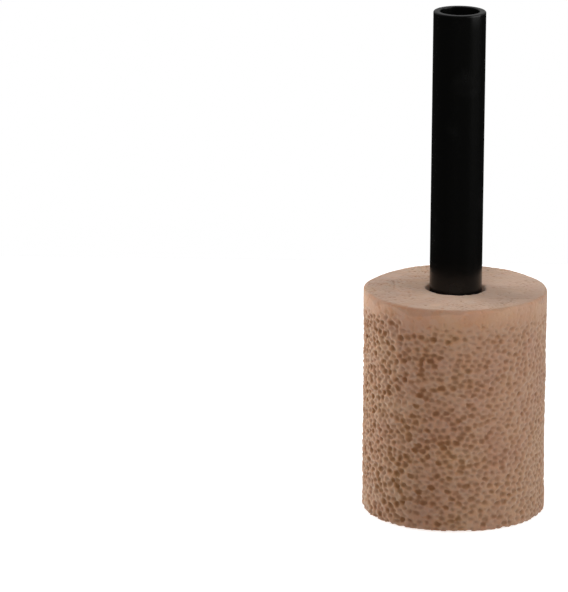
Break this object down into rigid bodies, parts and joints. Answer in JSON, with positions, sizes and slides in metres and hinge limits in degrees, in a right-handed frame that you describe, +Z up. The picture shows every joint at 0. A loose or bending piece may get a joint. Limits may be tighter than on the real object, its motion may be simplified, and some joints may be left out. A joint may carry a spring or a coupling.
{
  "type": "sponge filter",
  "caption": "Upright sponge filter: a round open-cell foam sleeve on the lower end of a rigid black riser tube, which is drilled with intake holes inside the foam and open at both ends.",
  "frame": {"origin": "centre of the foam's lower face, which the filter stands on", "axes": "+Z up along the riser tube, from the foam towards the tube's open top; X and Y level, with X along the lowest pair of intake holes"},
  "size_m": [0.056, 0.056, 0.156],
  "materials": {
    "filter_foam": "matte open-cell foam, pinkish beige",
    "black_tube": "gloss"
  },
  "bodies": {
    "sponge": {"foam_sleeve": "filter_foam"},
    "riser": {"riser_tube": "black_tube"}
  },
  "joints": [
    {"name": "riser_pull_out", "type": "slide", "parent": "sponge", "child": "riser", "axis": [0, 0, 1], "range_m": [0, 0.08]}
  ]
}
